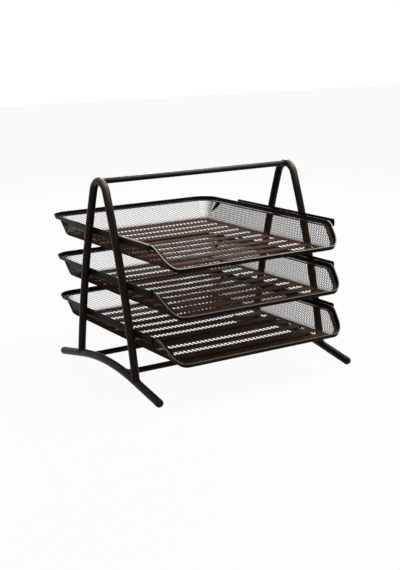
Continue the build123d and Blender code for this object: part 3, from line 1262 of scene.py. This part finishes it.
# Folds near a rear corner: distance of the top in front of the corner's bend, and drop down the wall
CORNER_FOLDS = (
    (14.0 * MM, 15.0 * MM),
    (17.4 * MM, 13.0 * MM),
    (20.8 * MM, 9.5 * MM),
)
# How far a fold leans back on its way down, and how much it thins
FOLD_LEAN = 0.55
FOLD_TAPER = 0.7
FOLD_STEPS = 9


class TRAY_OT_folds(Operator):
    """Gather the spare mesh near each rear corner into short folds under the rim"""

    bl_idname = "document_tray.folds"
    bl_label = "Corner folds"

    def execute(self, context):
        sizes = context.scene.document_tray_trays
        shape = tray_shape(sizes)
        bend = shape.half_depth - sizes.floor_corner
        for tier in TIERS:
            place = tray_place(tier, shape)
            build = bmesh.new()
            for sign in SIDES.values():
                inward = Vector((-sign * math.cos(sizes.wall_lean), 0.0, math.sin(sizes.wall_lean)))
                for start, drop in CORNER_FOLDS:
                    points = []
                    radii = []
                    for part in spread(0.0, 1.0, FOLD_STEPS):
                        down = part * drop
                        height = shape.side_height - down
                        along = bend - start + FOLD_LEAN * down
                        spot = Vector((sign * (shape.half_width + shape.lean * height), along, height))
                        points.append(place + spot + sizes.mesh_sheet * inward)
                        radii.append(sizes.fold_width / 2 * (1.0 - FOLD_TAPER * part ** 2))
                    add_bar(build, points, [inward] * FOLD_STEPS, radii, BEAD_SIDES)
            mesh = smooth_mesh(tier + "_corner_folds", build, "rim_coat")
            add_piece(tier + "_corner_folds", mesh, tier + "_tray", "basket_coating")
        return {"FINISHED"}


# Stage

WHITE = (1.0, 1.0, 1.0, 1.0)
# Strength of the backdrop as it is seen, and as light on the object
BACKDROP_STRENGTH = 1.0
AMBIENT = 0.08
# Half the width of the floor in m, and the share of white in the floor as it is seen
FLOOR_HALF = 6.0
FLOOR_GLOW = 0.95
# Width of the camera's sensor in mm
SENSOR_WIDTH = 36.0
# Lamps: name, place from the point that the camera looks at in m, width in m and power in W
LAMPS = (
    ("key", (0.81, -0.16, 1.37), 0.40, 17.0),
    ("fill", (-0.55, -0.30, 1.50), 0.35, 8.0),
    ("rear", (0.85, 1.40, 1.00), 0.30, 16.0),
)


class TRAY_OT_stage(Operator):
    """Set the floor, the light and the camera"""

    bl_idname = "document_tray.stage"
    bl_label = "Stage"

    def execute(self, context):
        sizes = context.scene.document_tray_stage
        context.scene.view_settings.view_transform = "Standard"
        self.floor(sizes)
        self.world(context)
        middle = stand_shape(context.scene.document_tray_stand).middle
        target = Vector((sizes.target_side, middle, sizes.target_height))
        for name, offset, width, power in LAMPS:
            self.lamp(name, target + Vector(offset), target, width, power)
        self.camera(context, sizes, target)
        return {"FINISHED"}

    def seen(self, nodes):
        """1 for what the camera sees, straight, in a gloss or through glass, and 0 for other light."""
        path = nodes.add("ShaderNodeLightPath", output="Is Camera Ray")
        aside = path.output("Is Glossy Ray") + path.output("Is Transmission Ray")
        return clamp(path + aside, 0.0, 1.0)

    def floor(self, sizes):
        """Pale floor that keeps the object's shadow."""
        build = bmesh.new()
        bmesh.ops.create_grid(build, x_segments=1, y_segments=1, size=FLOOR_HALF)
        mesh = bpy.data.meshes.new("floor")
        build.to_mesh(mesh)
        build.free()
        material, nodes = blank_material("pale_floor")
        glow = FLOOR_GLOW * self.seen(nodes)
        matt = nodes.add("ShaderNodeBsdfDiffuse", {}, {"Color": shade(sizes.floor_colour)})
        white = nodes.add("ShaderNodeEmission", {}, {"Color": WHITE, "Strength": BACKDROP_STRENGTH})
        blend = nodes.add("ShaderNodeMixShader", {}, {0: glow, 1: matt, 2: white})
        nodes.add("ShaderNodeOutputMaterial", {}, {"Surface": blend})
        mesh.materials.append(material)
        add_object("floor", mesh)

    def world(self, context):
        """White backdrop for the camera, softer for the light on the object."""
        world = bpy.data.worlds.new("studio")
        context.scene.world = world
        world.use_nodes = True
        nodes = Nodes(world.node_tree)
        seen = self.seen(nodes)
        strength = BACKDROP_STRENGTH * seen + AMBIENT * (1.0 - seen)
        backdrop = nodes.add("ShaderNodeBackground", {}, {"Color": WHITE, "Strength": strength})
        nodes.add("ShaderNodeOutputWorld", {}, {"Surface": backdrop})

    def lamp(self, name, place, target, width, power):
        """Soft square lamp that points at the object and isn't seen itself."""
        light = bpy.data.lights.new(name, "AREA")
        light.size = width
        light.energy = power
        lamp = add_object(name, light)
        lamp.location = place
        lamp.rotation_euler = (target - place).to_track_quat("-Z", "Y").to_euler()
        lamp.visible_camera = False

    def camera(self, context, sizes, target):
        """Camera at the photograph's viewing angle."""
        data = bpy.data.cameras.new("camera")
        data.sensor_width = SENSOR_WIDTH
        data.lens = sizes.lens
        camera = add_object("camera", data)
        side = -sizes.azimuth
        level = math.cos(sizes.elevation)
        back = Vector((math.sin(side) * level, -math.cos(side) * level, math.sin(sizes.elevation)))
        right = Vector((math.cos(side), math.sin(side), 0.0))
        up = back.cross(right)
        turned_right = math.cos(sizes.roll) * right + math.sin(sizes.roll) * up
        turned_up = math.cos(sizes.roll) * up - math.sin(sizes.roll) * right
        camera.location = target + sizes.distance * back
        camera.rotation_euler = Matrix((turned_right, turned_up, back)).transposed().to_euler()
        context.scene.camera = camera


OPERATORS = (
    TRAY_OT_arches,
    TRAY_OT_feet,
    TRAY_OT_rods,
    TRAY_OT_welds,
    TRAY_OT_rails,
    TRAY_OT_rims,
    TRAY_OT_baskets,
    TRAY_OT_folds,
    TRAY_OT_stage,
)
SETTINGS = {
    "document_tray_stand": StandSizes,
    "document_tray_trays": TraySizes,
    "document_tray_finishes": Finishes,
    "document_tray_stage": StageSizes,
}


class TRAY_PT_sidebar(Panel):
    """Sizes, colours and steps of the document tray"""

    bl_idname = "TRAY_PT_sidebar"
    bl_label = "Document Tray"
    bl_space_type = "VIEW_3D"
    bl_region_type = "UI"
    bl_category = "Document Tray"

    def draw(self, context):
        for operator in OPERATORS:
            self.layout.operator(operator.bl_idname)
        for name, group in SETTINGS.items():
            box = self.layout.box()
            box.label(text=group.__doc__)
            for key in group.__annotations__:
                box.prop(getattr(context.scene, name), key)


def register():
    for group in SETTINGS.values():
        bpy.utils.register_class(group)
    for name, group in SETTINGS.items():
        setattr(bpy.types.Scene, name, PointerProperty(type=group))
    for operator in OPERATORS:
        bpy.utils.register_class(operator)
    bpy.utils.register_class(TRAY_PT_sidebar)


def unregister():
    bpy.utils.unregister_class(TRAY_PT_sidebar)
    for operator in reversed(OPERATORS):
        bpy.utils.unregister_class(operator)
    for name, group in SETTINGS.items():
        delattr(bpy.types.Scene, name)
        bpy.utils.unregister_class(group)


def main():
    register()
    for operator in OPERATORS:
        category, name = operator.bl_idname.split(".")
        getattr(getattr(bpy.ops, category), name)()


if __name__ == "__main__":
    main()
